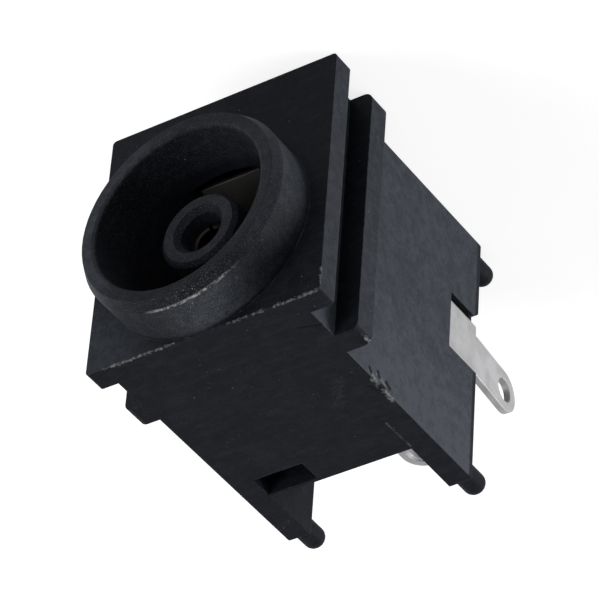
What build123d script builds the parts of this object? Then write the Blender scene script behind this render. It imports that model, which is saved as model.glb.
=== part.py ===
"""DC barrel jack for panel mounting, with three solder lugs.

The socket faces -Y, the lugs leave towards +Y and the jack lies on its window face.
X = 0 is the middle of the front plate and Y = 0 is the face of the front plate, under the nose.
Heights are counted from the window face while building, and the last step moves every piece
down so that Z = 0 is the socket axis. The side at -X has the pocket for the side lug, the side
at +X is plain. Sizes are millimetres.
"""
import os

from build123d import *

# Front plate, rear collar and the mounting groove between them
face_width = 9.3
face_height = 10.4
plate_thick = 0.85
groove_width = 1.4
collar_thick = 0.9
groove_depth_lug_side = 0.9
groove_depth_plain_side = 0.75
plate_corner = 0.15
collar_corner = 0.35

# Body behind the collar
body_length = 11.1
step_lug_side = 1.0
step_plain_side = 0.8
body_corner = 0.06
rear_corner = 0.1
floor_wall = 0.55

# Nose and socket
axis_height = 6.4
nose_radius = 4.0
nose_length = 2.0
nose_bevel_width = 0.2
nose_bevel_length = 0.4
bore_radius = 3.3
socket_end_wall = 1.6
bore_lead_in = 0.12

# Centre post
post_radius = 1.525
post_set_back = 1.3
post_round = 0.15
post_hole_radius = 0.8
post_lead_in = 0.2
post_end_wall = 0.6

# Gap between the two rear legs, and the pocket in front of it
leg_width = 0.9
leg_gap_height = 2.45
leg_gap_depth = 2.5
relief_length = 1.1
relief_width = 2.0
relief_depth = 1.4
relief_rear_wall = 0.15

# Solder lugs, the same outline on all three contacts
lug_reach = 2.3
lug_hole_radius = 0.46
lug_width = 1.65

# Centre contact
centre_thick = 0.4
centre_bottom = 5.93
centre_width = 4.6
centre_gap_above = 0.4
centre_slot_side_gap = 0.15
lug_hole_bevel = 0.08
pin_sleeve_outer = 0.74
pin_sleeve_inner = 0.52
pin_sleeve_set_back = 0.7
pin_sleeve_slit = 0.16
pin_sleeve_slit_length = 2.6
pin_sleeve_lead_in = 0.06
pin_tail_length = 0.55
pin_tail_web = 0.3
pin_tongue_width = 1.0

# Spring contacts
sheet = 0.25
seat_gap = 0.05
edge_inset = 0.12

# Sleeve contact, which presses on the plug from below
sleeve_shelf_bottom = 3.55
sleeve_plate_top = 5.83
sleeve_plate_inset = 0.03
sleeve_plate_length = 1.8
sleeve_lug_reach = 2.1
sleeve_pocket_round = 0.55
sleeve_pocket_gap = 0.1
sleeve_lug_lean = 4.0
sleeve_foot_bottom = 2.2
sleeve_foot_half_width = 1.7
sleeve_foot_length = 3.1
sleeve_web_clear = 0.12
sleeve_web_run = 0.55
sleeve_bend = 0.2
arm_width = 2.4
arm_tip = 0.85
arm_tip_height = 3.0
arm_peak = 2.2
arm_peak_height = 3.5
arm_knee = 4.2
arm_slope_end = 6.2
arm_tip_fall = 0.4

# Switch contact, which lies on the floor of the cavity
switch_plate_length = 2.8
switch_tongue_width = 2.2
switch_tongue_front = 5.6
switch_leaf_height = 1.58
switch_leaf_width = 0.85
switch_leaf_length = 2.3
switch_tip = 3.4
switch_tip_height = 2.7
switch_lug_middle = 0.15
switch_post_width = 0.2
switch_post_height = 1.5
switch_post_x = -0.55
barb_drop = 0.3
barb_length = 0.9
barb_width = 0.8

# Cavity that opens at the rear, and the channel under the socket
cavity_top = 4.4
cavity_lug_wall = 1.25
cavity_plain_wall = 1.32
cavity_length = 3.6
channel_top = 2.6
channel_half_width = 1.9
channel_front = 0.45
window_half_width = 1.4
window_top = 4.05

# Small features of the moulding
latch_window_width = 1.38
latch_window_length = 1.55
latch_window_set_in = 3.9
latch_window_middle = 0.09
key_notch_height = 0.4
key_notch_depth = 0.45
key_notch_middle = 3.45
key_notch_length = 1.6
lug_recess_width = 1.85
lug_recess_depth = 0.35
lug_recess_length = 0.8
mark_radius = 0.47
mark_depth = 0.05
mark_leg_inset = 0.32
mark_leg_drop = 0.6
mark_lug_inset = 0.72
mark_lug_height = 2.14
mark_plain_inset = 0.62
mark_plain_height = 1.88
peg_radius = 0.42
peg_length = 1.15
peg_inset = 0.47
peg_low = 0.6
peg_high_inset = 0.55

# Places that follow from the sizes above
collar_back = plate_thick + groove_width + collar_thick
body_left = -face_width / 2 + step_lug_side
body_right = face_width / 2 - step_plain_side
gap_left = body_left + leg_width
gap_right = body_right - leg_width
gap_front = body_length - leg_gap_depth
leg_floor_height = face_height - leg_gap_height
cavity_left = body_left + cavity_lug_wall
cavity_right = body_right - cavity_plain_wall
bore_end = gap_front - socket_end_wall
cavity_front = body_length - cavity_length
post_tip = post_set_back - nose_length
plate_outer = body_left + sleeve_plate_inset
contact_back = body_length - edge_inset
sleeve_front = body_length - sleeve_plate_length
sleeve_foot_front = body_length - sleeve_foot_length
switch_front = body_length - switch_plate_length
switch_leaf_front = body_length - switch_leaf_length
latch_window_front = body_length - latch_window_set_in
lug_eye = body_length + lug_reach
pocket_low = sleeve_shelf_bottom - sleeve_pocket_gap
pocket_length = body_length - sleeve_front + seat_gap
pocket_middle = body_length - pocket_length / 2
pocket_depth = sleeve_plate_inset + sheet + seat_gap
post_hole_end = gap_front - post_end_wall
pin_sleeve_tip = post_tip + pin_sleeve_set_back
pin_sleeve_end = post_hole_end - seat_gap
pin_slot_front = pin_sleeve_end - pin_tail_length
pin_bore_end = pin_slot_front - pin_tail_web
peg_places = [
    (x, z)
    for x in (body_left + peg_inset, body_right - peg_inset)
    for z in (peg_low, face_height - peg_high_inset)
]
mark_places = [
    (gap_right - mark_leg_inset, leg_floor_height - mark_leg_drop),
    (body_left + mark_lug_inset, mark_lug_height),
    (body_right - mark_plain_inset, mark_plain_height),
]


def slab(left, right, front, back, low, high, mode=Mode.ADD):
    """Box between six planes, made inside the part that is being built.

    Args:
        left, right: limits along X.
        front, back: limits along Y.
        low, high: limits along Z.
        mode: how the box joins the part.
    """
    middle = ((left + right) / 2, (front + back) / 2, (low + high) / 2)
    with Locations(middle):
        Box(right - left, back - front, high - low, mode=mode)


def layer(left, right, front, back, corner):
    """Full-height layer of the moulding across the barrel, with rounded long corners."""
    with BuildSketch(Plane.XZ.offset(-front)) as outline:
        with Locations(((left + right) / 2, face_height / 2)):
            Rectangle(right - left, face_height)
        if corner:
            fillet(outline.vertices(), corner)
    extrude(outline.sketch, amount=front - back)


# Housing
with BuildPart() as housing:
    # Plate, web of the groove, collar and body, from front to back
    layer(-face_width / 2, face_width / 2, 0, plate_thick, plate_corner)
    layer(
        -face_width / 2 + groove_depth_lug_side,
        face_width / 2 - groove_depth_plain_side,
        plate_thick,
        plate_thick + groove_width,
        0,
    )
    layer(-face_width / 2, face_width / 2, plate_thick + groove_width, collar_back, collar_corner)
    layer(body_left, body_right, collar_back, body_length, body_corner)
    rear_edges = housing.faces().sort_by(Axis.Y)[-1].edges().filter_by(Axis.Z)
    fillet(rear_edges, rear_corner)

    # Round nose with a bevelled rim
    with BuildSketch(Plane.YZ) as nose_profile:
        with BuildLine():
            Polyline(
                (plate_thick, axis_height),
                (-nose_length, axis_height),
                (-nose_length, axis_height + nose_radius - nose_bevel_width),
                (-nose_length + nose_bevel_length, axis_height + nose_radius),
                (plate_thick, axis_height + nose_radius),
                close=True,
            )
        make_face()
    revolve(axis=Axis((0, 0, axis_height), (0, 1, 0)))

    # Socket around the centre post
    with BuildSketch(Plane.YZ) as socket_profile:
        with BuildLine():
            Polyline(
                (-nose_length, axis_height),
                (-nose_length, axis_height + bore_radius + bore_lead_in),
                (-nose_length + bore_lead_in, axis_height + bore_radius),
                (bore_end, axis_height + bore_radius),
                (bore_end, axis_height + post_radius),
                (post_tip + post_round, axis_height + post_radius),
                (post_tip, axis_height + post_radius - post_round),
                (post_tip, axis_height),
                close=True,
            )
        make_face()
    revolve(axis=Axis((0, 0, axis_height), (0, 1, 0)), mode=Mode.SUBTRACT)

    # Hole in the post for the pin sleeve, closed at the rear except for the slot of its tongue
    with BuildSketch(Plane.YZ) as pin_hole_profile:
        with BuildLine():
            Polyline(
                (post_tip, axis_height),
                (post_tip, axis_height + post_hole_radius + post_lead_in),
                (post_tip + post_lead_in, axis_height + post_hole_radius),
                (post_hole_end, axis_height + post_hole_radius),
                (post_hole_end, axis_height),
                close=True,
            )
        make_face()
    revolve(axis=Axis((0, 0, axis_height), (0, 1, 0)), mode=Mode.SUBTRACT)

    slab(
        -pin_tongue_width / 2 - seat_gap,
        pin_tongue_width / 2 + seat_gap,
        post_hole_end,
        gap_front,
        centre_bottom,
        centre_bottom + centre_thick + seat_gap,
        Mode.SUBTRACT,
    )

    # Gap between the legs and the pocket in front of it
    slab(gap_left, gap_right, gap_front, body_length, leg_floor_height, face_height, Mode.SUBTRACT)
    slab(
        gap_right - relief_width,
        gap_right,
        gap_front - relief_length,
        gap_front - relief_rear_wall,
        face_height - relief_depth,
        face_height,
        Mode.SUBTRACT,
    )

    # Slot of the centre contact
    slab(
        -centre_width / 2 - centre_slot_side_gap,
        centre_width / 2 + centre_slot_side_gap,
        gap_front,
        body_length,
        centre_bottom,
        centre_bottom + centre_thick + centre_gap_above,
        Mode.SUBTRACT,
    )

    # Rear cavity, the channel under the socket and the window between channel and socket
    slab(cavity_left, cavity_right, cavity_front, body_length, floor_wall, cavity_top, Mode.SUBTRACT)
    slab(
        -channel_half_width,
        channel_half_width,
        channel_front,
        cavity_front,
        floor_wall,
        channel_top,
        Mode.SUBTRACT,
    )
    slab(
        -window_half_width,
        window_half_width,
        channel_front,
        bore_end,
        floor_wall,
        window_top,
        Mode.SUBTRACT,
    )

    # Pocket of the sleeve contact in the lug side, rounded at the rear, and the slot of its shelf
    with BuildSketch(Plane.YZ.offset(body_left)) as pocket_outline:
        with Locations((pocket_middle, (pocket_low + sleeve_plate_top) / 2)):
            Rectangle(pocket_length, sleeve_plate_top - pocket_low)
        with Locations((body_length, pocket_low)):
            Rectangle(2 * sleeve_pocket_round, 2 * sleeve_pocket_round)
        with Locations((body_length - sleeve_pocket_round, pocket_low - sleeve_pocket_round)):
            Circle(sleeve_pocket_round, mode=Mode.SUBTRACT)
    extrude(pocket_outline.sketch, amount=pocket_depth, mode=Mode.SUBTRACT)
    slab(
        body_left,
        cavity_left,
        sleeve_front - seat_gap,
        body_length,
        sleeve_shelf_bottom,
        sleeve_shelf_bottom + sheet + seat_gap,
        Mode.SUBTRACT,
    )

    # Key notch in the far wall of the cavity
    slab(
        cavity_right,
        cavity_right + key_notch_depth,
        body_length - key_notch_length,
        body_length,
        key_notch_middle - key_notch_height / 2,
        key_notch_middle + key_notch_height / 2,
        Mode.SUBTRACT,
    )

    # Latch window in the floor, and the recess under the switch lug
    slab(
        latch_window_middle - latch_window_width / 2,
        latch_window_middle + latch_window_width / 2,
        latch_window_front,
        latch_window_front + latch_window_length,
        0,
        floor_wall,
        Mode.SUBTRACT,
    )
    slab(
        switch_lug_middle - lug_recess_width / 2,
        switch_lug_middle + lug_recess_width / 2,
        body_length - lug_recess_length,
        body_length,
        floor_wall - lug_recess_depth,
        floor_wall,
        Mode.SUBTRACT,
    )

    # Ejector marks on the rear face
    with BuildSketch(Plane.XZ.offset(-body_length)):
        with Locations(*mark_places):
            Circle(mark_radius)
    extrude(amount=mark_depth, mode=Mode.SUBTRACT)

    # Four round-ended pegs
    with BuildSketch(Plane.XZ.offset(-body_length)):
        with Locations(*peg_places):
            Circle(peg_radius)
    extrude(amount=-peg_length)
    peg_tips = housing.faces().filter_by(GeomType.PLANE).group_by(Axis.Y)[-1]
    fillet(peg_tips.edges(), peg_radius * 0.85)

housing.part.label = "housing"

# Centre contact: plate in its slot, the middle lug and a tongue for the pin sleeve
with BuildPart() as centre_contact:
    with BuildSketch(Plane.XY.offset(centre_bottom)) as centre_outline:
        with Locations((0, (gap_front + seat_gap + contact_back) / 2)):
            Rectangle(centre_width, contact_back - gap_front - seat_gap)
        with Locations((0, (gap_front + lug_eye) / 2)):
            Rectangle(lug_width, lug_eye - gap_front - 2 * seat_gap)
        with Locations((0, (pin_slot_front + seat_gap + contact_back) / 2)):
            Rectangle(pin_tongue_width, contact_back - pin_slot_front - seat_gap)
        with Locations((0, lug_eye)):
            Circle(lug_width / 2)
            Circle(lug_hole_radius, mode=Mode.SUBTRACT)
    extrude(amount=centre_thick)
    hole_rims = centre_contact.edges().filter_by(GeomType.CIRCLE).sort_by(SortBy.RADIUS)[:2]
    chamfer(hole_rims, lug_hole_bevel)
centre_contact.part.label = "centre_contact"

# Pin sleeve: slit at the mouth, solid at the rear with a slot that holds the tongue
with BuildPart() as pin_sleeve:
    with BuildSketch(Plane.YZ) as sleeve_profile:
        with BuildLine():
            Polyline(
                (pin_sleeve_tip, axis_height + pin_sleeve_inner + pin_sleeve_lead_in),
                (pin_sleeve_tip, axis_height + pin_sleeve_outer),
                (pin_sleeve_end, axis_height + pin_sleeve_outer),
                (pin_sleeve_end, axis_height),
                (pin_bore_end, axis_height),
                (pin_bore_end, axis_height + pin_sleeve_inner),
                (pin_sleeve_tip + pin_sleeve_lead_in, axis_height + pin_sleeve_inner),
                close=True,
            )
        make_face()
    revolve(axis=Axis((0, 0, axis_height), (0, 1, 0)))
    slab(
        -pin_sleeve_slit / 2,
        pin_sleeve_slit / 2,
        pin_sleeve_tip,
        pin_sleeve_tip + pin_sleeve_slit_length,
        axis_height - pin_sleeve_outer,
        axis_height + pin_sleeve_outer,
        Mode.SUBTRACT,
    )
    slab(
        -pin_sleeve_outer,
        pin_sleeve_outer,
        pin_slot_front,
        pin_sleeve_end,
        centre_bottom,
        centre_bottom + centre_thick,
        Mode.SUBTRACT,
    )
pin_sleeve.part.label = "pin_sleeve"

# Sleeve contact: bent strip seen from behind, side lug and the spring arm under the socket
plate_middle = plate_outer + sheet / 2
shelf_middle = sleeve_shelf_bottom + sheet / 2
web_x = cavity_left + sleeve_web_clear + sheet / 2
foot_middle = sleeve_foot_bottom + sheet / 2
lug_middle = sleeve_plate_top - lug_width / 2
lug_plane = Plane(
    origin=(plate_outer, body_length, lug_middle),
    x_dir=(0, 1, 0),
    z_dir=(1, 0, 0),
).rotated((0, 0, -sleeve_lug_lean))
with BuildPart() as sleeve_contact:
    with BuildSketch(Plane.XZ.offset(-sleeve_front)) as strip_section:
        with BuildLine():
            FilletPolyline(
                (plate_middle, sleeve_plate_top),
                (plate_middle, shelf_middle),
                (web_x, shelf_middle),
                (web_x, shelf_middle - 2 * sheet),
                (web_x + sleeve_web_run, foot_middle),
                (sleeve_foot_half_width, foot_middle),
                radius=sleeve_bend,
            )
        trace(line_width=sheet)
    extrude(amount=sleeve_front - contact_back)
    slab(
        plate_outer,
        plate_outer + sheet,
        sleeve_front,
        body_length,
        sleeve_plate_top - lug_width,
        sleeve_plate_top,
    )
    # Side lug, which leans inwards behind the body
    with BuildSketch(lug_plane) as lug_outline:
        with Locations((sleeve_lug_reach / 2, 0)):
            Rectangle(sleeve_lug_reach, lug_width)
        with Locations((sleeve_lug_reach, 0)):
            Circle(lug_width / 2)
            Circle(lug_hole_radius, mode=Mode.SUBTRACT)
    extrude(amount=sheet)
    slab(
        -sleeve_foot_half_width,
        sleeve_foot_half_width,
        sleeve_foot_front,
        sleeve_front,
        sleeve_foot_bottom,
        sleeve_foot_bottom + sheet,
    )
    with BuildSketch(Plane.YZ.offset(-arm_width / 2)) as arm_section:
        with BuildLine():
            Line((sleeve_foot_front + sheet, foot_middle), (arm_slope_end, foot_middle))
            Spline(
                (arm_slope_end, foot_middle),
                (arm_knee, (foot_middle + arm_peak_height) / 2 - sheet / 2),
                (arm_peak, arm_peak_height),
                (arm_tip, arm_tip_height),
                tangents=((-1, 0), (-1, -arm_tip_fall)),
            )
        trace(line_width=sheet)
    extrude(amount=arm_width)
sleeve_contact.part.label = "sleeve_contact"

# Switch contact: plate on the cavity floor, folded leaf, lug, latch barb and a rising tongue
switch_top = floor_wall + sheet
switch_left = cavity_left + seat_gap
switch_right = cavity_right - seat_gap
with BuildPart() as switch_contact:
    with BuildSketch(Plane.XY.offset(floor_wall)) as switch_outline:
        with Locations(((switch_left + switch_right) / 2, (switch_front + contact_back) / 2)):
            Rectangle(switch_right - switch_left, contact_back - switch_front)
        with Locations((switch_lug_middle, (switch_front + lug_eye) / 2)):
            Rectangle(lug_width, lug_eye - switch_front)
        with Locations((0, (switch_tongue_front + switch_front) / 2)):
            Rectangle(switch_tongue_width, switch_front - switch_tongue_front)
        with Locations((switch_lug_middle, lug_eye)):
            Circle(lug_width / 2)
            Circle(lug_hole_radius, mode=Mode.SUBTRACT)
    extrude(amount=sheet)
    # Tongue that rises under the spring arm
    with BuildSketch(Plane.YZ.offset(-switch_tongue_width / 2)) as tongue_section:
        with BuildLine():
            Polyline(
                (switch_tongue_front + sheet, floor_wall + sheet / 2),
                (switch_tongue_front, floor_wall + sheet / 2),
                (switch_tip, switch_tip_height),
            )
        trace(line_width=sheet)
    extrude(amount=switch_tongue_width)
    # Leaf folded up the near wall and back over the plate
    with BuildSketch(Plane.XZ.offset(-switch_leaf_front)) as leaf_section:
        with BuildLine():
            FilletPolyline(
                (switch_left + switch_leaf_width, floor_wall + sheet / 2),
                (switch_left + sheet / 2, floor_wall + sheet / 2),
                (switch_left + sheet / 2, switch_leaf_height - sheet / 2),
                (switch_left + switch_leaf_width, switch_leaf_height - sheet / 2),
                radius=sheet * 0.6,
            )
        trace(line_width=sheet)
    extrude(amount=switch_leaf_front - contact_back)
    # Doubled edge under the leaf and a small stop beside the lug
    slab(
        switch_left,
        switch_left + switch_leaf_width,
        sleeve_front,
        contact_back,
        switch_top,
        switch_top + sheet,
    )
    slab(
        switch_post_x - switch_post_width / 2,
        switch_post_x + switch_post_width / 2,
        contact_back - sheet,
        contact_back,
        floor_wall,
        switch_post_height,
    )
    # Barb that drops into the latch window
    with BuildSketch(Plane.YZ.offset(latch_window_middle - barb_width / 2)) as barb_section:
        with BuildLine():
            Polyline(
                (latch_window_front + seat_gap, switch_top),
                (latch_window_front + seat_gap, floor_wall - barb_drop),
                (latch_window_front + seat_gap + sheet, floor_wall - barb_drop),
                (latch_window_front + seat_gap + barb_length, floor_wall),
                (latch_window_front + seat_gap + barb_length, switch_top),
                close=True,
            )
        make_face()
    extrude(amount=barb_width)
switch_contact.part.label = "switch_contact"

# Export, with Z = 0 on the socket axis
to_socket_axis = Location((0, 0, -axis_height))
os.makedirs("parts", exist_ok=True)
for name, built in (
    ("housing", housing),
    ("centre_contact", centre_contact),
    ("pin_sleeve", pin_sleeve),
    ("sleeve_contact", sleeve_contact),
    ("switch_contact", switch_contact),
):
    placed = built.part.moved(to_socket_axis)
    export_step(placed, f"parts/{name}.step")
    print(name, round(placed.volume, 3), placed.bounding_box())
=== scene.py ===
"""Looks of the DC barrel jack: finishes, tinned rims of the eyes, floor, lamps and camera.

Lengths inside the classes are millimetres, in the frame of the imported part. The socket faces -Y, the
solder lugs point to +Y, the side lug is at -X and the open side between the legs is at +Z.
"""
from __future__ import annotations

import logging
import math
from dataclasses import dataclass, field
from enum import Enum
from functools import cached_property, partial, reduce

import bmesh
import bpy
from mathutils import Matrix, Vector


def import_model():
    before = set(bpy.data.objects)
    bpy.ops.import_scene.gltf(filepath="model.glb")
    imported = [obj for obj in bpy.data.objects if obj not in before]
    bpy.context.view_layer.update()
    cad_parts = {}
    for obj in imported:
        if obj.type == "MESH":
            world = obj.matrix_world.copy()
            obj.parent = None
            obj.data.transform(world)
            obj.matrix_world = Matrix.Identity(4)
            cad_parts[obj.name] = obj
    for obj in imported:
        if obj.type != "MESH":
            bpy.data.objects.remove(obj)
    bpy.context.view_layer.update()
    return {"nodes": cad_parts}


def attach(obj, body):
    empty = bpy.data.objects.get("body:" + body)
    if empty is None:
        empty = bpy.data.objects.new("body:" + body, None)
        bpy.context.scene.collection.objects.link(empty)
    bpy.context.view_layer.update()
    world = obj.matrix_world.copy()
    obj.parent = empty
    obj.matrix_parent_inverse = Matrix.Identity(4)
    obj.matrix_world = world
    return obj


LOG = logging.getLogger("barrel_jack")
MM = 0.001
WHITE = (1.0, 1.0, 1.0)
ORIGIN = (0.0, 0.0, 0.0)

# Sockets of a Mix node that mixes colours
MIX_SHARE, MIX_FIRST, MIX_SECOND, MIX_RESULT = 0, 6, 7, 2

Colour = tuple[float, float, float]
Point = tuple[float, float, float]
Socket = bpy.types.NodeSocket
Value = float | tuple[float, ...] | Socket


class Group(Enum):
    """Names of the shader groups that several finishes share."""

    EDGE_WEAR = "edge_wear"
    GRAIN = "grain"
    SPECKS = "dust_specks"
    LINE = "near_line"
    SPOT = "near_point"


class Facing(Enum):
    """Directions that a face can look in, as axis and sign."""

    SIDE = (0, -1.0)
    FRONT = (1, -1.0)
    REAR = (1, 1.0)


def rgba(colour: Colour) -> tuple[float, float, float, float]:
    """Adds full opacity to a linear colour."""
    return (*colour, 1.0)


@dataclass
class Shade:
    """Adds nodes to one shader tree in few words.

    Attributes:
        tree: the node tree that is being filled.
    """

    tree: bpy.types.NodeTree

    def add(self, kind: str, **settings: object) -> bpy.types.Node:
        """Adds a node.

        Args:
            kind: Blender's name of the node type.
            **settings: attributes set on the node.

        Returns:
            The new node.
        """
        node = self.tree.nodes.new(kind)
        for name, value in settings.items():
            setattr(node, name, value)
        return node

    def join(self, value: Value, socket: Socket) -> None:
        """Links an output to a socket, or sets the socket if the value is a plain one.

        Args:
            value: an output socket, a number or a tuple.
            socket: the input socket.
        """
        if isinstance(value, Socket):
            self.tree.links.new(value, socket)
        else:
            socket.default_value = value

    def math(self, operation: str, a: Value, b: Value = 0.0, clamp: bool = False) -> Socket:
        """Adds a Math node.

        Args:
            operation: Blender's name of the operation.
            a: first value.
            b: second value.
            clamp: whether the result is kept between 0 and 1.

        Returns:
            The result.
        """
        node = self.add("ShaderNodeMath", operation=operation, use_clamp=clamp)
        self.join(a, node.inputs[0])
        self.join(b, node.inputs[1])
        return node.outputs[0]

    def _fold(self, operation: str, values: tuple[Value, ...]) -> Value:
        """Runs one operation over several values, from the first to the last."""
        return reduce(partial(self.math, operation), values)

    def plus(self, *values: Value) -> Value:
        """Adds all the values."""
        return self._fold("ADD", values)

    def times(self, *values: Value) -> Value:
        """Multiplies all the values."""
        return self._fold("MULTIPLY", values)

    def most(self, *values: Value) -> Value:
        """Takes the largest of the values."""
        return self._fold("MAXIMUM", values)

    def less(self, a: Value, b: Value) -> Socket:
        """Takes the second value from the first."""
        return self.math("SUBTRACT", a, b)

    def ramp(self, value: Value, low: Value, high: Value) -> Socket:
        """Smoothly maps a value from low..high to 0..1.

        Args:
            value: what is mapped.
            low: where the result starts to leave 0.
            high: where it reaches 1.

        Returns:
            The mapped value.
        """
        node = self.add("ShaderNodeMapRange", interpolation_type="SMOOTHSTEP")
        self.join(value, node.inputs["Value"])
        self.join(low, node.inputs["From Min"])
        self.join(high, node.inputs["From Max"])
        return node.outputs["Result"]

    def fade(self, value: Value, low: Value, high: Value) -> Socket:
        """Smoothly maps a value from low..high to 1..0."""
        return self.less(1.0, self.ramp(value, low, high))

    def mix(self, share: Value, a: Value, b: Value) -> Socket:
        """Mixes two colours.

        Args:
            share: share of the second colour.
            a: first colour.
            b: second colour.

        Returns:
            The mixed colour.
        """
        node = self.add("ShaderNodeMix", data_type="RGBA")
        self.join(share, node.inputs[MIX_SHARE])
        for colour, index in ((a, MIX_FIRST), (b, MIX_SECOND)):
            self.join(rgba(colour) if isinstance(colour, tuple) else colour, node.inputs[index])
        return node.outputs[MIX_RESULT]

    def noise(
        self, where: Value, scale: Value, detail: float = 3.0, roughness: float = 0.5, output: str = "Fac"
    ) -> Socket:
        """Adds a noise texture.

        Args:
            where: texture coordinate.
            scale: cells for each millimetre.
            detail: octaves.
            roughness: weight of the fine octaves.
            output: which output is wanted.

        Returns:
            The noise.
        """
        node = self.add("ShaderNodeTexNoise")
        self.join(where, node.inputs["Vector"])
        self.join(scale, node.inputs["Scale"])
        node.inputs["Detail"].default_value = detail
        node.inputs["Roughness"].default_value = roughness
        return node.outputs[output]

    def scaled(self, vector: Value, factor: Value) -> Socket:
        """Scales a vector.

        Args:
            vector: the vector.
            factor: its factor.

        Returns:
            The scaled vector.
        """
        node = self.add("ShaderNodeVectorMath", operation="SCALE")
        self.join(vector, node.inputs[0])
        self.join(factor, node.inputs["Scale"])
        return node.outputs["Vector"]

    @cached_property
    def here(self) -> Socket:
        """Point of the surface in the part's frame, in millimetres."""
        return self.scaled(self.add("ShaderNodeTexCoord").outputs["Object"], 1.0 / MM)

    def split(self, vector: Value) -> tuple[Socket, ...]:
        """Splits a vector.

        Args:
            vector: the vector.

        Returns:
            Its X, Y and Z.
        """
        node = self.add("ShaderNodeSeparateXYZ")
        self.join(vector, node.inputs[0])
        return tuple(node.outputs)

    def vector(self, operation: str, a: Value, b: Value, output: str = "Vector") -> Socket:
        """Adds a Vector Math node.

        Args:
            operation: Blender's name of the operation.
            a: first vector.
            b: second vector.
            output: which output is wanted.

        Returns:
            The result.
        """
        node = self.add("ShaderNodeVectorMath", operation=operation)
        self.join(a, node.inputs[0])
        self.join(b, node.inputs[1])
        return node.outputs[output]

    def from_axis(self) -> Socket:
        """Measures the distance from the socket's axis."""
        x, _, z = self.split(self.here)
        return self.math("SQRT", self.plus(self.times(x, x), self.times(z, z)))

    def facing(self, side: Facing, low: float = 0.8, high: float = 0.95) -> Socket:
        """Mask of the faces that look in one direction.

        Args:
            side: the direction.
            low: cosine at which the mask starts.
            high: cosine at which it is full.

        Returns:
            The mask.
        """
        axis, sign = side.value
        normal = self.split(self.add("ShaderNodeNewGeometry").outputs["Normal"])[axis]
        return self.ramp(self.times(normal, sign), low, high)

    def bump(self, height: Value, distance: float, strength: float, normal: Value | None = None) -> Socket:
        """Adds a bump.

        Args:
            height: height value, 0 to 1.
            distance: real height of 1, in millimetres.
            strength: share of the bump that is used.
            normal: normal that the bump starts from.

        Returns:
            The bumped normal.
        """
        node = self.add("ShaderNodeBump")
        node.inputs["Strength"].default_value = strength
        node.inputs["Distance"].default_value = distance * MM
        self.join(height, node.inputs["Height"])
        if normal is not None:
            self.join(normal, node.inputs["Normal"])
        return node.outputs["Normal"]

    def group(self, name: Group, **values: Value) -> dict[str, Socket]:
        """Places a shared group.

        Args:
            name: which group.
            **values: inputs by name, with underscores for spaces.

        Returns:
            The group's outputs by name.
        """
        node = self.add("ShaderNodeGroup")
        node.node_tree = bpy.data.node_groups[name.value]
        for key, value in values.items():
            self.join(value, node.inputs[key.replace("_", " ")])
        return {out.name: out for out in node.outputs}


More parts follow.
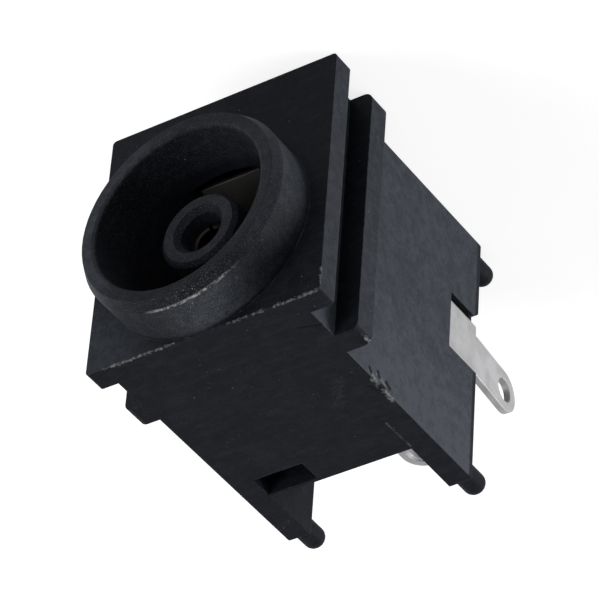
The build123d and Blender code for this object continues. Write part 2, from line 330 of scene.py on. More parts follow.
@dataclass
class SharedGroups:
    """Builds the shader groups that several finishes use.

    Attributes:
        rounding: radius of the rounding by which edges are found.
        edge_samples: samples of that rounding.
        speck_bend_scale: scale of the noise that bends the specks.
        speck_bend: how far it bends them.
        border_scale: scale of the noise that makes a mark's border uneven.
        core: share of a mark's width in which it is full.
    """

    rounding: float = 0.07
    edge_samples: int = 6
    speck_bend_scale: float = 9.0
    speck_bend: float = 0.09
    border_scale: float = 7.0
    core: float = 0.35

    def build(self) -> None:
        """Builds every group once."""
        self._edge_wear()
        self._grain()
        self._specks()
        self._line()
        self._spot()

    @staticmethod
    def _start(
        name: Group, inputs: dict[str, float | Point], outputs: dict[str, str]
    ) -> tuple[Shade, dict[str, Socket], dict[str, Socket]]:
        """Starts a group with its sockets.

        Args:
            name: which group.
            inputs: default of each input; a tuple makes a vector.
            outputs: socket type of each output.

        Returns:
            The builder, the group's inputs and its outputs, both by name.
        """
        tree = bpy.data.node_groups.new(name.value, "ShaderNodeTree")
        for key, value in inputs.items():
            kind = "NodeSocketFloat" if isinstance(value, float) else "NodeSocketVector"
            socket = tree.interface.new_socket(key, in_out="INPUT", socket_type=kind)
            socket.default_value = value
        for key, kind in outputs.items():
            tree.interface.new_socket(key, in_out="OUTPUT", socket_type=kind)
        shade = Shade(tree)
        given = shade.add("NodeGroupInput").outputs
        out = shade.add("NodeGroupOutput").inputs
        return shade, {s.name: s for s in given if s.name}, {s.name: s for s in out if s.name}

    def _edge_wear(self) -> None:
        """Worn edges: a mask that is broken up by noise, the whole edge, and the rounded normal."""
        inputs = {"Place": ORIGIN, "Low": 0.02, "High": 0.25, "Scale": 3.0}
        inputs |= {"Break low": 0.35, "Break high": 0.65}
        outputs = {"Mask": "NodeSocketFloat", "Edge": "NodeSocketFloat", "Normal": "NodeSocketVector"}
        shade, given, out = self._start(Group.EDGE_WEAR, inputs, outputs)
        bevel = shade.add("ShaderNodeBevel", samples=self.edge_samples)
        bevel.inputs["Radius"].default_value = self.rounding * MM
        rounded = bevel.outputs["Normal"]
        flat = shade.add("ShaderNodeNewGeometry").outputs["Normal"]
        bend = shade.math("SUBTRACT", 1.0, shade.vector("DOT_PRODUCT", rounded, flat, "Value"), clamp=True)
        edge = shade.ramp(bend, given["Low"], given["High"])
        noise = shade.noise(given["Place"], given["Scale"], detail=5.0, roughness=0.65)
        broken = shade.ramp(noise, given["Break low"], given["Break high"])
        shade.join(shade.times(edge, broken), out["Mask"])
        shade.join(edge, out["Edge"])
        shade.join(rounded, out["Normal"])

    def _grain(self) -> None:
        """Grain of a moulded or rolled surface: its height and a slow change of tone."""
        inputs = {"Place": ORIGIN, "Fine scale": 22.0, "Slow scale": 0.5}
        outputs = {"Height": "NodeSocketFloat", "Tone": "NodeSocketFloat"}
        shade, given, out = self._start(Group.GRAIN, inputs, outputs)
        fine = shade.noise(given["Place"], given["Fine scale"], detail=4.0, roughness=0.6)
        slow = shade.noise(given["Place"], given["Slow scale"], detail=5.0, roughness=0.55)
        shade.join(fine, out["Height"])
        shade.join(slow, out["Tone"])

    def _specks(self) -> None:
        """Small light specks of dust, scattered unevenly."""
        inputs = {"Place": ORIGIN, "Scale": 4.0, "Size": 0.12, "Share": 0.5}
        shade, given, out = self._start(Group.SPECKS, inputs, {"Mask": "NodeSocketFloat"})
        bend = shade.noise(given["Place"], self.speck_bend_scale, output="Color")
        shift = shade.vector("MULTIPLY", bend, (self.speck_bend, self.speck_bend, self.speck_bend))
        cells = shade.add("ShaderNodeTexVoronoi")
        shade.join(shade.vector("ADD", given["Place"], shift), cells.inputs["Vector"])
        shade.join(given["Scale"], cells.inputs["Scale"])
        near = shade.math("LESS_THAN", cells.outputs["Distance"], given["Size"])
        picked = shade.math("LESS_THAN", shade.split(cells.outputs["Color"])[0], given["Share"])
        shade.join(shade.times(near, picked), out["Mask"])

    def _line(self) -> None:
        """Mask of the space near a straight stretch, with a ragged border."""
        inputs = {"Place": ORIGIN, "Start": ORIGIN, "End": (1.0, 0.0, 0.0), "Width": 0.1, "Ragged": 0.1}
        shade, given, out = self._start(Group.LINE, inputs, {"Mask": "NodeSocketFloat"})
        along = shade.vector("SUBTRACT", given["End"], given["Start"])
        offset = shade.vector("SUBTRACT", given["Place"], given["Start"])
        reached = shade.vector("DOT_PRODUCT", offset, along, "Value")
        length = shade.vector("DOT_PRODUCT", along, along, "Value")
        run = shade.math("DIVIDE", reached, length, clamp=True)
        away = shade.vector("DISTANCE", offset, shade.scaled(along, run), "Value")
        noise = shade.noise(given["Place"], self.border_scale, detail=4.0, roughness=0.7)
        away = shade.plus(away, shade.times(shade.less(noise, 0.5), given["Ragged"]))
        shade.join(shade.fade(away, shade.times(given["Width"], self.core), given["Width"]), out["Mask"])

    def _spot(self) -> None:
        """Mask of the space near one point, fading out between two distances."""
        inputs = {"Place": ORIGIN, "Centre": ORIGIN, "Inside": 0.5, "Outside": 1.0}
        shade, given, out = self._start(Group.SPOT, inputs, {"Mask": "NodeSocketFloat"})
        away = shade.vector("DISTANCE", given["Place"], given["Centre"], "Value")
        shade.join(shade.fade(away, given["Inside"], given["Outside"]), out["Mask"])


def new_material(name: str) -> tuple[bpy.types.Material, Shade, bpy.types.Node]:
    """Makes an empty node material with its Principled shader.

    Args:
        name: name of the material.

    Returns:
        The material, its builder and the Principled node.
    """
    material = bpy.data.materials.new(name)
    material.use_nodes = True
    shade = Shade(material.node_tree)
    material.node_tree.nodes.clear()
    output = shade.add("ShaderNodeOutputMaterial")
    principled = shade.add("ShaderNodeBsdfPrincipled")
    shade.join(principled.outputs["BSDF"], output.inputs["Surface"])
    return material, shade, principled


def paint(parts: list[bpy.types.Object], material: bpy.types.Material) -> None:
    """Gives objects one material.

    Args:
        parts: the objects.
        material: their material.
    """
    for part in parts:
        part.data.materials.clear()
        part.data.materials.append(material)


@dataclass(frozen=True)
class Mark:
    """A worn or dirty stretch of the surface.

    Attributes:
        start: one end.
        end: the other end.
        width: half its width.
        ragged: how uneven its border is.
        strength: how much of it shows.
    """

    start: Point
    end: Point
    width: float = 0.1
    ragged: float = 0.1
    strength: float = 1.0

    def mask(self, shade: Shade) -> Value:
        """Makes the mask of the mark."""
        sizes = {"Start": self.start, "End": self.end, "Width": self.width, "Ragged": self.ragged}
        return shade.times(shade.group(Group.LINE, Place=shade.here, **sizes)["Mask"], self.strength)


@dataclass(frozen=True)
class Patch:
    """A round patch of the surface that fades out.

    Attributes:
        centre: its middle.
        inside: distance up to which it is full.
        outside: distance at which it ends.
        strength: how much of it shows.
    """

    centre: Point
    inside: float
    outside: float
    strength: float = 1.0

    def mask(self, shade: Shade) -> Value:
        """Makes the mask of the patch."""
        sizes = {"Centre": self.centre, "Inside": self.inside, "Outside": self.outside}
        return shade.times(shade.group(Group.SPOT, Place=shade.here, **sizes)["Mask"], self.strength)


def any_of(marks: tuple[Mark | Patch, ...], shade: Shade) -> Value:
    """Joins the masks of several marks or patches."""
    return shade.most(*(mark.mask(shade) for mark in marks))


@dataclass(frozen=True)
class GreyFilm:
    """How thick the grey film lies on each part of the moulding, where 1 is full; the film is dust in part
    and painted light and shade in part.

    Attributes:
        side: on the edges of front plate and collar, dust with painted sheen.
        body: added on the body's side, dust with painted sheen.
        leg: added there towards the legs.
        wall: on the nose's side.
        nose_shadow: painted shadow, taken from it between the lug's side and the legs.
        flank_light: painted light added to it towards the side lug.
        bevel: on the nose's bevel.
        far_bevel: added to it away from the side lug.
        near_bevel: added to it towards the side lug.
        low_loss: share missing there towards the legs.
        post: on the face of the centre post.
        lit_nose: painted light, where the nose's side has the most.
        front_sheen: painted sheen on the front plate, lightest away from the side lug and towards the legs.
    """

    side: float = 0.42
    body: float = 0.36
    leg: float = 0.44
    wall: float = 0.19
    nose_shadow: float = 0.08
    flank_light: float = 0.2
    bevel: float = 0.15
    far_bevel: float = 0.5
    near_bevel: float = 0.12
    low_loss: float = 0.8
    post: float = 0.3
    lit_nose: Patch = Patch((-1.1, -0.9, 3.85), 0.4, 2.3, 0.6)
    front_sheen: Patch = Patch((4.4, 0.0, 3.4), 0.3, 4.2, 0.6)


@dataclass(frozen=True)
class BlackMoulding:
    """Black moulded plastic, greyed on its side and nose by dust and painted light, rubbed and chipped on
    its edges.

    Attributes:
        deep: colour of the untouched plastic.
        dust_and_sheen: colour of the greyed faces, dust with a painted bluish sheen.
        worn: colour of the rubbed edges.
        speck: colour of dust and of chipped edges.
        pit: colour of the small holes in a chipped edge.
        roughness: roughness of the untouched plastic.
        gloss: specular level.
        film: where the grey film lies.
        film_least: strength of the film where its mottling is thinnest.
        film_mottle: added to it where the mottling is thickest.
        haze: grey all over, by slow tone, by mottling and by rubbing.
        grit: light grain all over.
        nose_grit: more of it on the nose.
        edge_wear: share of the worn colour on edges.
        dust: share of the speck colour on dust.
        relief: real height of the bump.
    """

    deep: Colour = (0.006, 0.007, 0.0102)
    dust_and_sheen: Colour = (0.069, 0.0775, 0.093)
    worn: Colour = (0.2, 0.2, 0.21)
    speck: Colour = (0.5, 0.5, 0.5)
    pit: Colour = (0.004, 0.004, 0.004)
    roughness: float = 0.52
    gloss: float = 0.05
    film: GreyFilm = field(default_factory=GreyFilm)
    film_least: float = 0.6
    film_mottle: float = 0.43
    haze: tuple[float, float, float] = (0.04, 0.066, 0.083)
    grit: float = 0.07
    nose_grit: float = 0.15
    edge_wear: float = 0.4
    dust: float = 0.45
    relief: float = 0.02


@dataclass(frozen=True)
class TinnedSheet:
    """Tinned copper alloy sheet.

    Attributes:
        edge: colour of tin rubbed bright on the edges.
        bright: colour of clean tin.
        dull: colour of oxidised tin.
        stain: colour of flux.
        tarnish: colour of the painted shade on the metal inside the socket and behind the window.
        roughness: roughness of clean tin.
        metallic: how metallic the tin is.
        patches: share of the dull colour in patches.
        roll_marks: share of it in the marks of rolling.
        roll_stretch: how those marks are stretched.
        rubbed: share of the edge colour on edges.
        shear_line: share of stain in the sheared line.
        relief: real height of the bump.
    """

    edge: Colour = (0.72, 0.72, 0.73)
    bright: Colour = (0.46, 0.46, 0.47)
    dull: Colour = (0.31, 0.31, 0.315)
    stain: Colour = (0.13, 0.1, 0.045)
    tarnish: Colour = (0.035, 0.033, 0.028)
    roughness: float = 0.42
    metallic: float = 0.6
    patches: float = 0.7
    roll_marks: float = 0.25
    roll_stretch: Point = (6.0, 0.9, 6.0)
    rubbed: float = 0.6
    shear_line: float = 0.6
    relief: float = 0.01

    def material(
        self, name: str, stains: tuple[Mark, ...], edge_line: float | None = None, dark: Mark | None = None
    ) -> bpy.types.Material:
        """Makes the finish of one contact.

        Args:
            name: name of the material.
            stains: where flux has dried.
            edge_line: height of the sheared line in the rear edges, if there is one.
            dark: stretch inside the housing with painted shade, if there is one.

        Returns:
            The finished material.
        """
        material, shade, principled = new_material(name)
        grain = shade.group(Group.GRAIN, Place=shade.here, Fine_scale=12.0, Slow_scale=1.1)
        wear = shade.group(
            Group.EDGE_WEAR, Place=shade.here, Low=0.04, High=0.35, Scale=3.0, Break_low=0.2, Break_high=0.5
        )
        stretched = shade.vector("MULTIPLY", shade.here, self.roll_stretch)
        rolled = shade.noise(stretched, 2.0, detail=3.0, roughness=0.6)
        tone = shade.ramp(grain["Tone"], 0.35, 0.68)
        flux = shade.times(any_of(stains, shade), shade.ramp(grain["Tone"], 0.28, 0.5))
        colour = shade.mix(shade.times(tone, self.patches), self.bright, self.dull)
        colour = shade.mix(shade.times(shade.ramp(rolled, 0.5, 0.75), self.roll_marks), colour, self.dull)
        colour = shade.mix(shade.times(wear["Edge"], self.rubbed), colour, self.edge)
        colour = shade.mix(flux, colour, self.stain)
        # painted shade on the metal inside the housing
        if dark is not None:
            colour = shade.mix(dark.mask(shade), colour, self.tarnish)
        if edge_line is not None:
            off_line = shade.math("ABSOLUTE", shade.less(shade.split(shade.here)[2], edge_line))
            line = shade.times(shade.fade(off_line, 0.015, 0.04), shade.facing(Facing.REAR, 0.5, 0.8))
            colour = shade.mix(shade.times(line, self.shear_line), colour, self.stain)
        shade.join(colour, principled.inputs["Base Color"])
        principled.inputs["Metallic"].default_value = self.metallic
        rough = shade.plus(self.roughness, shade.times(tone, 0.14))
        rough = shade.math("ADD", rough, shade.times(flux, 0.25), clamp=True)
        shade.join(rough, principled.inputs["Roughness"])
        height = shade.plus(grain["Height"], shade.times(rolled, 0.5))
        shade.join(shade.bump(height, self.relief, 0.5, wear["Normal"]), principled.inputs["Normal"])
        return material


@dataclass
class Housing:
    """The black moulding.

    Attributes:
        side_x: place of the body's side with the lug.
        plate_half: half the width of the front plate.
        leg_face: height of the face between the legs.
        nose_radius: radius of the nose.
        bore_radius: radius of the socket.
        post_radius: radius of the centre post.
        bevel_back: place where the nose's bevel ends.
        collar_back: place where the collar ends.
        body_back: place of the rear face.
        window_face: height of the face with the small window.
        rubbed_nose: where the nose has the most light grain.
        rubbed_towards: direction from the axis to the bright line on the nose.
        dust_patches: where fine dust has gathered.
        finish: the plastic.
    """

    side_x: float = -3.65
    plate_half: float = 4.65
    leg_face: float = 4.0
    nose_radius: float = 4.0
    bore_radius: float = 3.3
    post_radius: float = 1.525
    bevel_back: float = -1.6
    collar_back: float = 3.15
    body_back: float = 11.1
    window_face: float = -6.4
    rubbed_nose: Patch = Patch((-0.9, -0.9, 3.9), 0.4, 2.2, 0.38)
    rubbed_towards: Point = (-0.38, 0.0, 0.92)
    dust_patches: tuple[Patch, ...] = (
        Patch((-1.0, -1.0, 4.0), 0.6, 2.6),
        Patch((-4.4, 0.2, 3.4), 0.4, 2.0),
        Patch((0.5, 4.0, 4.0), 1.0, 4.5, 0.5),
    )
    finish: BlackMoulding = field(default_factory=BlackMoulding)

    def bright_marks(self) -> tuple[Mark, ...]:
        """Lists the light scratches and worn stretches.

        Returns:
            Marks on the plate's edges, the collar's end and the chipped edge, and two on the leg face.
        """
        plate, face, side, low = self.plate_half, self.leg_face, self.side_x, self.window_face
        return (
            Mark((3.9, 0.0, face), (1.1, 0.0, face), 0.08, 0.3, 0.5),
            Mark((-1.1, 0.0, face), (-2.4, 0.0, face), 0.08, 0.3, 0.3),
            Mark((-2.9, 0.0, face), (-plate, 0.0, face), 0.09, 0.35, 0.45),
            Mark((-plate, 0.0, 3.9), (-plate, 0.0, 3.1), 0.07, 0.2, 0.4),
            Mark((-plate, 2.3, face), (-plate + 0.1, self.collar_back, face - 0.1), 0.1, 0.2, 0.6),
            Mark((side, 4.55, 3.8), (side, 4.95, 3.9), 0.12, 0.3, 0.34),
            Mark((side, 4.7, face), (side + 0.1, 5.2, face), 0.1, 0.3, 0.36),
            Mark((side, 5.4, face), (side + 0.05, 6.05, face), 0.12, 0.3, 0.44),
            Mark((side, 5.0, 3.6), (side, 5.5, 3.75), 0.12, 0.3, 0.34),
            Mark((-2.75, 7.0, face), (-2.8, 8.45, face), 0.06, 0.08, 0.16),
            Mark((-2.6, 4.2, face), (-1.9, 5.4, face), 0.3, 0.9, 0.03),
            Mark((0.9, -0.2, low), (-2.5, 0.0, low), 0.07, 0.25, 0.4),
        )

    def pits(self) -> tuple[Mark, ...]:
        """Lists the dark pits.

        Returns:
            Five pits in the chipped edge and one at the groove.
        """
        side, face = self.side_x, self.leg_face
        return (
            Mark((side, 4.52, 3.68), (side, 4.6, 3.78), 0.12, 0.14),
            Mark((side, 5.02, 3.52), (side, 5.1, 3.66), 0.13, 0.16),
            Mark((side, 5.55, 3.62), (side, 5.75, 3.72), 0.12, 0.16),
            Mark((side, 5.25, 3.95), (side, 5.42, 3.9), 0.12, 0.12),
            Mark((side + 0.25, 5.0, face), (side + 0.2, 5.3, face), 0.1, 0.14, 0.8),
            Mark((-3.0, 1.3, face), (-3.7, 1.5, face), 0.1, 0.12, 0.8),
        )

    def build(self) -> list[bpy.types.Object]:
        """Adds no pieces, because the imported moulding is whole."""
        return []

    def dress(self, parts: list[bpy.types.Object]) -> None:
        """Gives the moulding its finish.

        Args:
            parts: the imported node.
        """
        plastic = self.finish
        material, shade, principled = new_material("black_moulding")
        grain = shade.group(Group.GRAIN, Place=shade.here, Fine_scale=24.0, Slow_scale=0.35)
        wear = shade.group(
            Group.EDGE_WEAR, Place=shade.here, Low=0.04, High=0.3, Scale=3.0, Break_low=0.46, Break_high=0.66
        )
        broken = shade.ramp(shade.noise(shade.here, 5.5, detail=5.0, roughness=0.75), 0.42, 0.58)
        # worn marks, and the nose's bright line, which is wear with a painted highlight
        marks = shade.most(any_of(self.bright_marks(), shade), self._nose_wear_and_highlight(shade))
        bright = shade.times(marks, broken)
        pitted = any_of(self.pits(), shade)
        # the grey film is partly dust and partly painted light and shade
        colour = shade.mix(self._grey(shade, grain["Tone"]), plastic.deep, plastic.dust_and_sheen)
        colour = shade.mix(self._grit(shade, grain["Height"]), colour, plastic.worn)
        colour = shade.mix(shade.times(wear["Mask"], plastic.edge_wear), colour, plastic.worn)
        colour = shade.mix(bright, colour, plastic.speck)
        colour = shade.mix(self._dust(shade), colour, plastic.speck)
        colour = shade.mix(pitted, colour, plastic.pit)
        shade.join(colour, principled.inputs["Base Color"])
        rough = shade.plus(plastic.roughness, shade.times(grain["Tone"], 0.12))
        rough = shade.math("ADD", rough, shade.times(bright, 0.15), clamp=True)
        shade.join(rough, principled.inputs["Roughness"])
        principled.inputs["Specular IOR Level"].default_value = plastic.gloss
        height = shade.less(shade.times(grain["Height"], 0.5), shade.times(pitted, 1.5))
        height = shade.less(height, shade.times(bright, 0.5))
        shade.join(shade.bump(height, plastic.relief, 0.6, wear["Normal"]), principled.inputs["Normal"])
        paint(parts, material)

    def _grey(self, shade: Shade, slow: Value) -> Socket:
        """Share of grey: the film on the greyed faces, which is dust with painted light and shade, and a
        faint haze all over.

        Args:
            shade: the node builder.
            slow: slow change of tone.

        Returns:
            The share, 0 to 1.
        """
        plastic = self.finish
        tone = shade.ramp(slow, 0.35, 0.7)
        mottle = shade.ramp(shade.noise(shade.here, 2.6, detail=6.0, roughness=0.72), 0.38, 0.66)
        streaks = shade.vector("MULTIPLY", shade.here, (0.6, 2.6, 1.8))
        rubs = shade.ramp(shade.noise(streaks, 1.5, detail=5.0, roughness=0.72), 0.48, 0.68)
        strength = shade.plus(plastic.film_least, shade.times(mottle, plastic.film_mottle))
        film = shade.times(self._film(shade), strength)
        haze = shade.plus(*(shade.times(*pair) for pair in zip((tone, mottle, rubs), plastic.haze)))
        return shade.math("ADD", film, haze, clamp=True)

    def _grit(self, shade: Shade, fine: Value) -> Value:
        """Share of light grain: a little all over, more on the nose, and most on its rubbed part.

        Args:
            shade: the node builder.
            fine: height of the grain.

        Returns:
            The share.
        """
        plastic = self.finish
        on_nose = shade.fade(shade.split(shade.here)[1], -0.3, -0.05)
        rubbed = shade.times(on_nose, self.rubbed_nose.mask(shade))
        share = shade.plus(plastic.grit, shade.times(on_nose, plastic.nose_grit), rubbed)
        return shade.times(shade.ramp(fine, 0.52, 0.66), share)

    def _dust(self, shade: Shade) -> Value:
        """Mask of the dust: single specks all over, and fine ones where they have gathered.

        Args:
            shade: the node builder.

        Returns:
            The mask.
        """
        specks = shade.group(Group.SPECKS, Place=shade.here, Scale=2.8, Size=0.05, Share=0.16)
        fine = shade.group(Group.SPECKS, Place=shade.here, Scale=7.0, Size=0.13, Share=0.1)
        gathered = shade.times(fine["Mask"], any_of(self.dust_patches, shade))
        return shade.times(shade.most(specks["Mask"], gathered), self.finish.dust)

    def _film(self, shade: Shade) -> Value:
        """Share of grey film on each part of the surface, with a painted sheen on the front plate.

        Args:
            shade: the node builder.

        Returns:
            The share.
        """
        film = self.finish.film
        y = shade.split(shade.here)[1]
        front = shade.facing(Facing.FRONT)
        # painted sheen on the front plate
        front_sheen = shade.times(film.front_sheen.mask(shade), front, shade.ramp(y, -0.2, -0.05))
        near_axis = shade.fade(shade.from_axis(), self.post_radius + 0.075, self.post_radius + 0.175)
        post = shade.times(front, near_axis, shade.fade(y, 0.1, 0.3), film.post)
        return shade.most(self._side_film(shade), self._nose_film(shade), front_sheen, post)

    def _side_film(self, shade: Shade) -> Value:
        """Share of film, dust with painted sheen, on the side with the lug; it is most on the body near the
        legs and stops short of the rear edge, leaving a band of painted shade there.

        Args:
            shade: the node builder.

        Returns:
            The share.
        """
        film = self.finish.film
        x, y, z = shade.split(shade.here)
        outer = shade.fade(x, self.side_x + 0.02, self.side_x + 0.12)
        behind_face = shade.ramp(y, -0.06, -0.02)
        # painted shade: the film stops short of the rear edge, leaving a dark band along it
        outside_rear_shade = shade.fade(y, self.body_back - 0.34, self.body_back - 0.2)
        on_body = shade.ramp(x, self.side_x - 0.2, self.side_x - 0.1)
        more = shade.plus(film.body, shade.times(shade.ramp(z, -1.0, 3.6), film.leg))
        share = shade.plus(film.side, shade.times(on_body, more))
        return shade.times(shade.facing(Facing.SIDE), outer, behind_face, outside_rear_shade, share)

    def _nose_film(self, shade: Shade) -> Value:
        """Share of film on the nose's side and on its bevel; on the side it carries painted light and a
        painted shadow.

        Args:
            shade: the node builder.

        Returns:
            The share.
        """
        film = self.finish.film
        x, y, z = shade.split(shade.here)
        radius = shade.from_axis()
        across = shade.math("DIVIDE", x, radius)
        down = shade.math("DIVIDE", z, radius)
        # painted shadow on the nose's side between the lug's side and the legs
        between = shade.times(shade.fade(across, -0.3, 0.3), shade.ramp(down, 0.0, 0.7))
        # painted light on the nose's side towards the side lug
        flank_light = shade.times(shade.fade(across, -0.95, -0.5), shade.fade(down, 0.05, 0.45))
        wall = shade.plus(film.wall, shade.times(between, -film.nose_shadow))
        # painted light on the nose's side towards the legs
        wall = shade.plus(wall, film.lit_nose.mask(shade), shade.times(flank_light, film.flank_light))
        far = shade.times(shade.ramp(across, 0.0, 0.8), film.far_bevel)
        near = shade.times(shade.fade(across, -0.9, -0.3), film.near_bevel)
        kept = shade.less(1.0, shade.times(shade.ramp(down, 0.5, 0.9), film.low_loss))
        bevel = shade.times(shade.plus(film.bevel, far, near), kept)
        behind = shade.ramp(y, self.bevel_back - 0.05, self.bevel_back + 0.05)
        nose = shade.plus(shade.times(wall, behind), shade.times(bevel, shade.less(1.0, behind)))
        outside = shade.ramp(radius, self.bore_radius + 0.02, self.bore_radius + 0.06)
        return shade.times(nose, outside, shade.fade(y, -0.2, -0.05))

    def _nose_wear_and_highlight(self, shade: Shade) -> Value:
        """Mask of the bright line where the nose's bevel meets its side: rubbed wear with a painted
        highlight.

        Args:
            shade: the node builder.

        Returns:
            The mask.
        """
        x, y, _ = shade.split(shade.here)
        away = shade.math("ABSOLUTE", shade.less(y, self.bevel_back))
        line = shade.times(shade.fade(away, 0.02, 0.07), 0.9)
        outer = shade.ramp(shade.from_axis(), self.nose_radius - 0.15, self.nose_radius - 0.08)
        turned = shade.vector("DOT_PRODUCT", shade.here, self.rubbed_towards, "Value")
        return shade.times(line, outer, shade.ramp(turned, 3.0, 3.6), shade.ramp(x, -2.7, -1.5))


@dataclass
class EyeRim:
    """Thin rim of tin round the eye of a solder lug.

    Attributes:
        name: name of the piece.
        slot: name of a material slot; not used.
        centre: middle of the eye on the lug's face.
        normal: direction in which the face looks.
        radius: radius of the rim's middle line.
        width: half its width.
        rise: how far it stands out of the sheet.
        swell: share by which it is higher on two sides.
        swell_turn: angle by which those sides are turned, in radians.
        ripple: share by which it ripples five times round the eye.
        rounds: steps round the eye.
        steps: steps across the rim.
    """

    name: str
    slot: str
    centre: Point
    normal: Point
    radius: float = 0.56
    width: float = 0.09
    rise: float = 0.03
    swell: float = 0.22
    swell_turn: float = 0.7
    ripple: float = 0.12
    rounds: int = 96
    steps: int = 12

    def build(self) -> bpy.types.Object:
        """Builds the rim and lets it ride on the part.

        Returns:
            The piece.
        """
        mesh = bmesh.new()
        rings = [self._ring(mesh, 2 * math.pi * i / self.rounds) for i in range(self.rounds)]
        for i, ring in enumerate(rings):
            after = rings[(i + 1) % self.rounds]
            for j in range(self.steps):
                k = (j + 1) % self.steps
                mesh.faces.new((ring[j], after[j], after[k], ring[k])).smooth = True
        bmesh.ops.recalc_face_normals(mesh, faces=mesh.faces)
        data = bpy.data.meshes.new(self.name)
        mesh.to_mesh(data)
        mesh.free()
        rim = bpy.data.objects.new(self.name, data)
        bpy.context.scene.collection.objects.link(rim)
        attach(rim, "root")
        return rim

    def _ring(self, mesh: bmesh.types.BMesh, turn: float) -> list[bmesh.types.BMVert]:
        """Adds the points of the rim's cross section at one angle.

        Args:
            mesh: the rim's mesh.
            turn: angle round the eye.

        Returns:
            The points.
        """
        normal = Vector(self.normal).normalized()
        across = normal.orthogonal().normalized()
        out = across * math.cos(turn) + normal.cross(across) * math.sin(turn)
        uneven = 1.0 + self.swell * math.sin(2 * turn + self.swell_turn) + self.ripple * math.sin(5 * turn)
        points = []
        for j in range(self.steps):
            lift = 2 * math.pi * j / self.steps
            radial = self.radius + self.width * math.cos(lift)
            height = self.rise * uneven * math.sin(lift)
            point = Vector(self.centre) + out * radial + normal * height
            points.append(mesh.verts.new(point * MM))
        return points


def rim_pair(name: str, slot: str, eye: Point, top: float, radius: float) -> list[bpy.types.Object]:
    """Builds the rims on both faces of a level lug.

    Args:
        name: first part of their names.
        slot: name of a material slot, handed to the rims; not used.
        eye: middle of the eye on the low face.
        top: height of the high face.
        radius: radius of the rims.

    Returns:
        The rims.
    """
    low = EyeRim(f"{name}_low", slot, eye, (0.0, 0.0, -1.0), radius)
    high = EyeRim(f"{name}_high", slot, (eye[0], eye[1], top), (0.0, 0.0, 1.0), radius)
    return [low.build(), high.build()]


@dataclass
class CentreContact:
    """The stamped plate with the middle lug.

    Attributes:
        eye_y: place of the lug's eye.
        rim_radius: radius of the rims round the eye.
        low: height of the face towards the window side.
        high: height of the face towards the legs.
        back: place of the moulding's rear face.
        finish: the tin.
    """

    eye_y: float = 13.4
    rim_radius: float = 0.62
    low: float = -0.47
    high: float = -0.07
    back: float = 11.1
    finish: TinnedSheet = field(default_factory=TinnedSheet)

    def build(self) -> list[bpy.types.Object]:
        """Builds the two rims of the eye."""
        eye = (0.0, self.eye_y, self.low)
        return rim_pair("centre_eye_rim", "tinned_plate_metal", eye, self.high, self.rim_radius)

    def dress(self, parts: list[bpy.types.Object]) -> None:
        """Gives the plate and its rims their finish.

        Args:
            parts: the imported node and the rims.
        """
        stains = (
            Mark((-0.5, self.back + 0.1, self.low), (0.6, self.back + 0.5, self.low), 0.5, 0.5, 0.75),
            Mark((0.2, self.back, self.high), (0.5, self.back + 0.9, self.high), 0.8, 0.7, 0.6),
        )
        middle = (self.low + self.high) / 2
        paint(parts, self.finish.material("tinned_plate", stains, edge_line=middle))


@dataclass
class SleeveContact:
    """The bent spring strip with the side lug.

    Attributes:
        outer_x: place of the plate's outer face.
        back: place where the lug leaves the body.
        reach: distance from there to the eye.
        middle_z: height of the lug's middle.
        lean: angle by which the lug leans inwards, in degrees.
        sheet: thickness of the strip.
        finish: the tin.
    """

    outer_x: float = -3.62
    back: float = 11.1
    reach: float = 2.1
    middle_z: float = -1.395
    lean: float = 4.0
    sheet: float = 0.25
    finish: TinnedSheet = field(default_factory=TinnedSheet)

    def build(self) -> list[bpy.types.Object]:
        """Builds the rim on the inner face of the eye.

        Returns:
            The rim.
        """
        turn = math.radians(self.lean)
        out = Vector((math.sin(turn), math.cos(turn), 0.0))
        inward = Vector((math.cos(turn), -math.sin(turn), 0.0))
        eye = Vector((self.outer_x, self.back, self.middle_z)) + out * self.reach + inward * self.sheet
        return [EyeRim("side_eye_rim_inner", "tinned_spring_metal", tuple(eye), tuple(inward)).build()]

    def dress(self, parts: list[bpy.types.Object]) -> None:
        """Gives the strip and its rim their finish.

        Args:
            parts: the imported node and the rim.
        """
        x, back = self.outer_x + self.sheet + 0.15, self.back
        stains = (
            Mark((x, back - 0.5, -2.5), (x, back + 0.1, -2.4), 0.34, 0.3, 0.85),
            Mark((x, back, -2.4), (x, back + 0.2, -1.2), 0.34, 0.4, 0.8),
        )
        # painted shade on the spring inside the socket
        socket = Mark((0.0, 0.0, -3.0), (0.0, 6.0, -4.0), 3.2, 0.5, 0.95)
        paint(parts, self.finish.material("tinned_spring", stains, dark=socket))


@dataclass
class SwitchContact:
    """The switch plate with the lug near the window face.

    Attributes:
        eye: middle of the eye on the face towards the window side.
        back: place of the moulding's rear face.
        window_y: place of the small window's middle.
        sheet: thickness of the plate.
        finish: the tin.
    """

    eye: Point = (0.15, 13.4, -5.85)
    back: float = 11.1
    window_y: float = 8.0
    sheet: float = 0.25
    finish: TinnedSheet = field(default_factory=TinnedSheet)

    def build(self) -> list[bpy.types.Object]:
        """Builds the two rims of the eye."""
        top = self.eye[2] + self.sheet
        return rim_pair("switch_eye_rim", "tinned_switch_metal", self.eye, top, EyeRim.radius)

    def dress(self, parts: list[bpy.types.Object]) -> None:
        """Gives the plate and its rims their finish.

        Args:
            parts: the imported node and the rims.
        """
        x, _, z = self.eye
        stains = (Mark((x - 0.3, self.back, z), (x + 0.4, self.back + 0.3, z), 0.35, 0.6, 0.5),)
        # painted shade on the plate behind the small window
        window = Mark((-0.7, self.window_y, z - 0.3), (0.9, self.window_y, z - 0.3), 1.7, 0.3, 0.93)
        paint(parts, self.finish.material("tinned_switch", stains, dark=window))


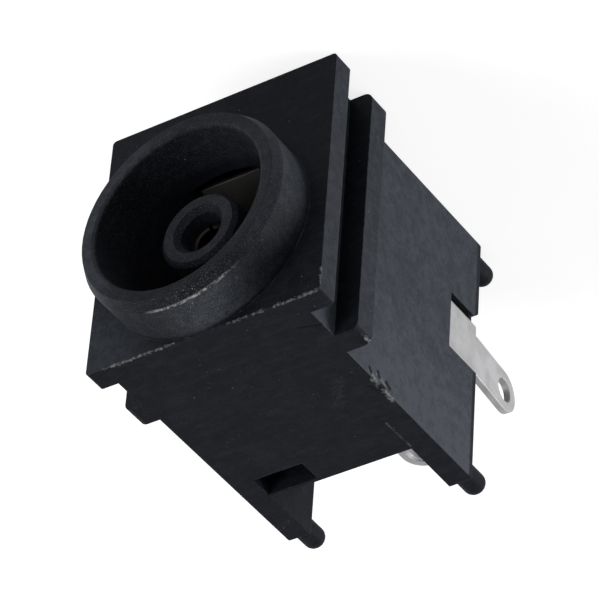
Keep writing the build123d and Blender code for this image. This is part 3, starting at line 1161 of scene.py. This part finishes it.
@dataclass
class PinSleeve:
    """The turned sleeve inside the centre post.

    Attributes:
        colour: colour of its clean metal.
        tarnish: colour of its tarnish.
        roughness: roughness of its smoothest rings.
        metallic: how metallic it is.
        ring_stretch: how the noise is stretched into rings.
        relief: real height of the rings.
    """

    colour: Colour = (0.02, 0.018, 0.014)
    tarnish: Colour = (0.009, 0.008, 0.007)
    roughness: float = 0.35
    metallic: float = 0.9
    ring_stretch: Point = (0.4, 9.0, 0.4)
    relief: float = 0.004

    def build(self) -> list[bpy.types.Object]:
        """Adds no pieces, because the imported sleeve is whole."""
        return []

    def dress(self, parts: list[bpy.types.Object]) -> None:
        """Gives the sleeve its finish, with turning rings.

        Args:
            parts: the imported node.
        """
        material, shade, principled = new_material("pin_sleeve_metal")
        grain = shade.group(Group.GRAIN, Place=shade.here, Fine_scale=18.0, Slow_scale=1.2)
        rings = shade.noise(shade.vector("MULTIPLY", shade.here, self.ring_stretch), 3.0)
        tone = shade.ramp(grain["Tone"], 0.3, 0.6)
        shade.join(shade.mix(tone, self.colour, self.tarnish), principled.inputs["Base Color"])
        principled.inputs["Metallic"].default_value = self.metallic
        shade.join(shade.plus(self.roughness, shade.times(rings, 0.2)), principled.inputs["Roughness"])
        shade.join(shade.bump(rings, self.relief, 0.5), principled.inputs["Normal"])
        paint(parts, material)


@dataclass(frozen=True)
class Lamp:
    """A square area lamp.

    Attributes:
        name: its name.
        at: its place.
        size: its width.
        power: its power in watts.
    """

    name: str
    at: Point
    size: float
    power: float


@dataclass
class Studio:
    """Floor, lamps, world and camera.

    Attributes:
        floor_z: height of the floor.
        floor_half: half the floor's width.
        floor_tone: grey of the floor.
        floor_glow: light that makes the floor look white.
        sky: strength of the light from all round.
        aim: point that the lamps face.
        lamps: the lamps.
        camera_at: place of the camera.
        forward: viewing direction.
        down: direction that points down in the picture.
        focal_px: focal length of the photograph in pixels of the picture.
        closer: how much closer the picture is than the photograph.
        picture_px: width of the picture.
        sensor: width of the camera's sensor.
        shift: shift of the picture, as a share of its width.
    """

    floor_z: float = -6.4
    floor_half: float = 400.0
    floor_tone: Colour = (0.5, 0.5, 0.5)
    floor_glow: float = 0.8
    sky: float = 0.15
    aim: Point = (0.0, 5.0, 0.0)
    lamps: tuple[Lamp, ...] = (
        Lamp("key", (-150.0, 110.0, 20.0), 110.0, 0.34),
        Lamp("fill", (110.0, -70.0, 120.0), 90.0, 0.17),
        Lamp("front", (-60.0, -190.0, 60.0), 100.0, 0.05),
    )
    camera_at: Point = (-60.865, -78.173, 83.08)
    forward: Point = (0.45809573, 0.62189164, -0.63513706)
    down: Point = (0.31148327, 0.55690963, 0.76995444)
    focal_px: float = 2812.66
    closer: float = 1.38
    picture_px: float = 600.0
    sensor: float = 36.0
    shift: tuple[float, float] = (0.024, -0.026)

    def build(self) -> None:
        """Builds the whole studio."""
        self._floor()
        self._world()
        for lamp in self.lamps:
            self._lamp(lamp)
        self._camera()

    def _floor(self) -> None:
        """Builds the plain pale floor, which the camera sees as white with a soft shadow."""
        mesh = bpy.data.meshes.new("floor")
        half, height = self.floor_half * MM, self.floor_z * MM
        corners = [(x * half, y * half, height) for x, y in ((-1, -1), (1, -1), (1, 1), (-1, 1))]
        mesh.from_pydata(corners, [], [(0, 1, 2, 3)])
        floor = bpy.data.objects.new("floor", mesh)
        bpy.context.scene.collection.objects.link(floor)
        material, shade, principled = new_material("pale_floor")
        principled.inputs["Base Color"].default_value = rgba(self.floor_tone)
        principled.inputs["Roughness"].default_value = 0.9
        principled.inputs["Specular IOR Level"].default_value = 0.0
        glow = shade.times(self._seen(shade), self.floor_glow)
        shade.join(glow, principled.inputs["Emission Strength"])
        principled.inputs["Emission Color"].default_value = rgba(WHITE)
        mesh.materials.append(material)

    @staticmethod
    def _seen(shade: Shade) -> Value:
        """Gives 1 to the rays that show the surroundings: seen straight, mirrored or through glass."""
        path = shade.add("ShaderNodeLightPath").outputs
        return shade.most(path["Is Camera Ray"], path["Is Glossy Ray"], path["Is Transmission Ray"])

    def _world(self) -> None:
        """Sets a soft grey world that the camera sees as white."""
        world = bpy.data.worlds.new("studio")
        bpy.context.scene.world = world
        world.use_nodes = True
        shade = Shade(world.node_tree)
        world.node_tree.nodes.clear()
        output = shade.add("ShaderNodeOutputWorld")
        back = shade.add("ShaderNodeBackground")
        strength = shade.plus(self.sky, shade.times(self._seen(shade), 1.0 - self.sky))
        shade.join(strength, back.inputs["Strength"])
        back.inputs["Color"].default_value = rgba(WHITE)
        shade.join(back.outputs["Background"], output.inputs["Surface"])

    def _lamp(self, lamp: Lamp) -> None:
        """Adds an area lamp that faces the part.

        Args:
            lamp: the lamp.
        """
        data = bpy.data.lights.new(lamp.name, "AREA")
        data.energy = lamp.power
        data.size = lamp.size * MM
        light = bpy.data.objects.new(lamp.name, data)
        light.location = Vector(lamp.at) * MM
        light.rotation_mode = "QUATERNION"
        light.rotation_quaternion = (Vector(self.aim) - Vector(lamp.at)).to_track_quat("-Z", "Y")
        bpy.context.scene.collection.objects.link(light)

    def _camera(self) -> None:
        """Adds the camera at the photograph's viewing angle."""
        data = bpy.data.cameras.new("camera")
        data.sensor_width = self.sensor
        data.lens = self.focal_px * self.closer / self.picture_px * self.sensor
        data.shift_x, data.shift_y = self.shift
        data.clip_start, data.clip_end = 0.001, 10.0
        camera = bpy.data.objects.new("camera", data)
        back = -Vector(self.forward).normalized()
        up = -Vector(self.down).normalized()
        right = up.cross(back).normalized()
        up = back.cross(right).normalized()
        turn = Matrix((right, up, back)).transposed()
        camera.matrix_world = Matrix.Translation(Vector(self.camera_at) * MM) @ turn.to_4x4()
        bpy.context.scene.collection.objects.link(camera)
        bpy.context.scene.camera = camera


def main() -> None:
    """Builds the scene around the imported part."""
    logging.basicConfig(level=logging.INFO, format="%(message)s")
    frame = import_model()
    SharedGroups().build()
    pieces = {
        "housing": Housing(),
        "centre_contact": CentreContact(),
        "pin_sleeve": PinSleeve(),
        "sleeve_contact": SleeveContact(),
        "switch_contact": SwitchContact(),
    }
    for name, piece in pieces.items():
        added = piece.build()
        piece.dress([frame["nodes"][name], *added])
        LOG.info("%s: dressed, with %d added pieces", name, len(added))
    Studio().build()
    LOG.info("studio ready")
    bpy.context.scene.view_settings.view_transform = "Standard"


if __name__ == "__main__":
    main()
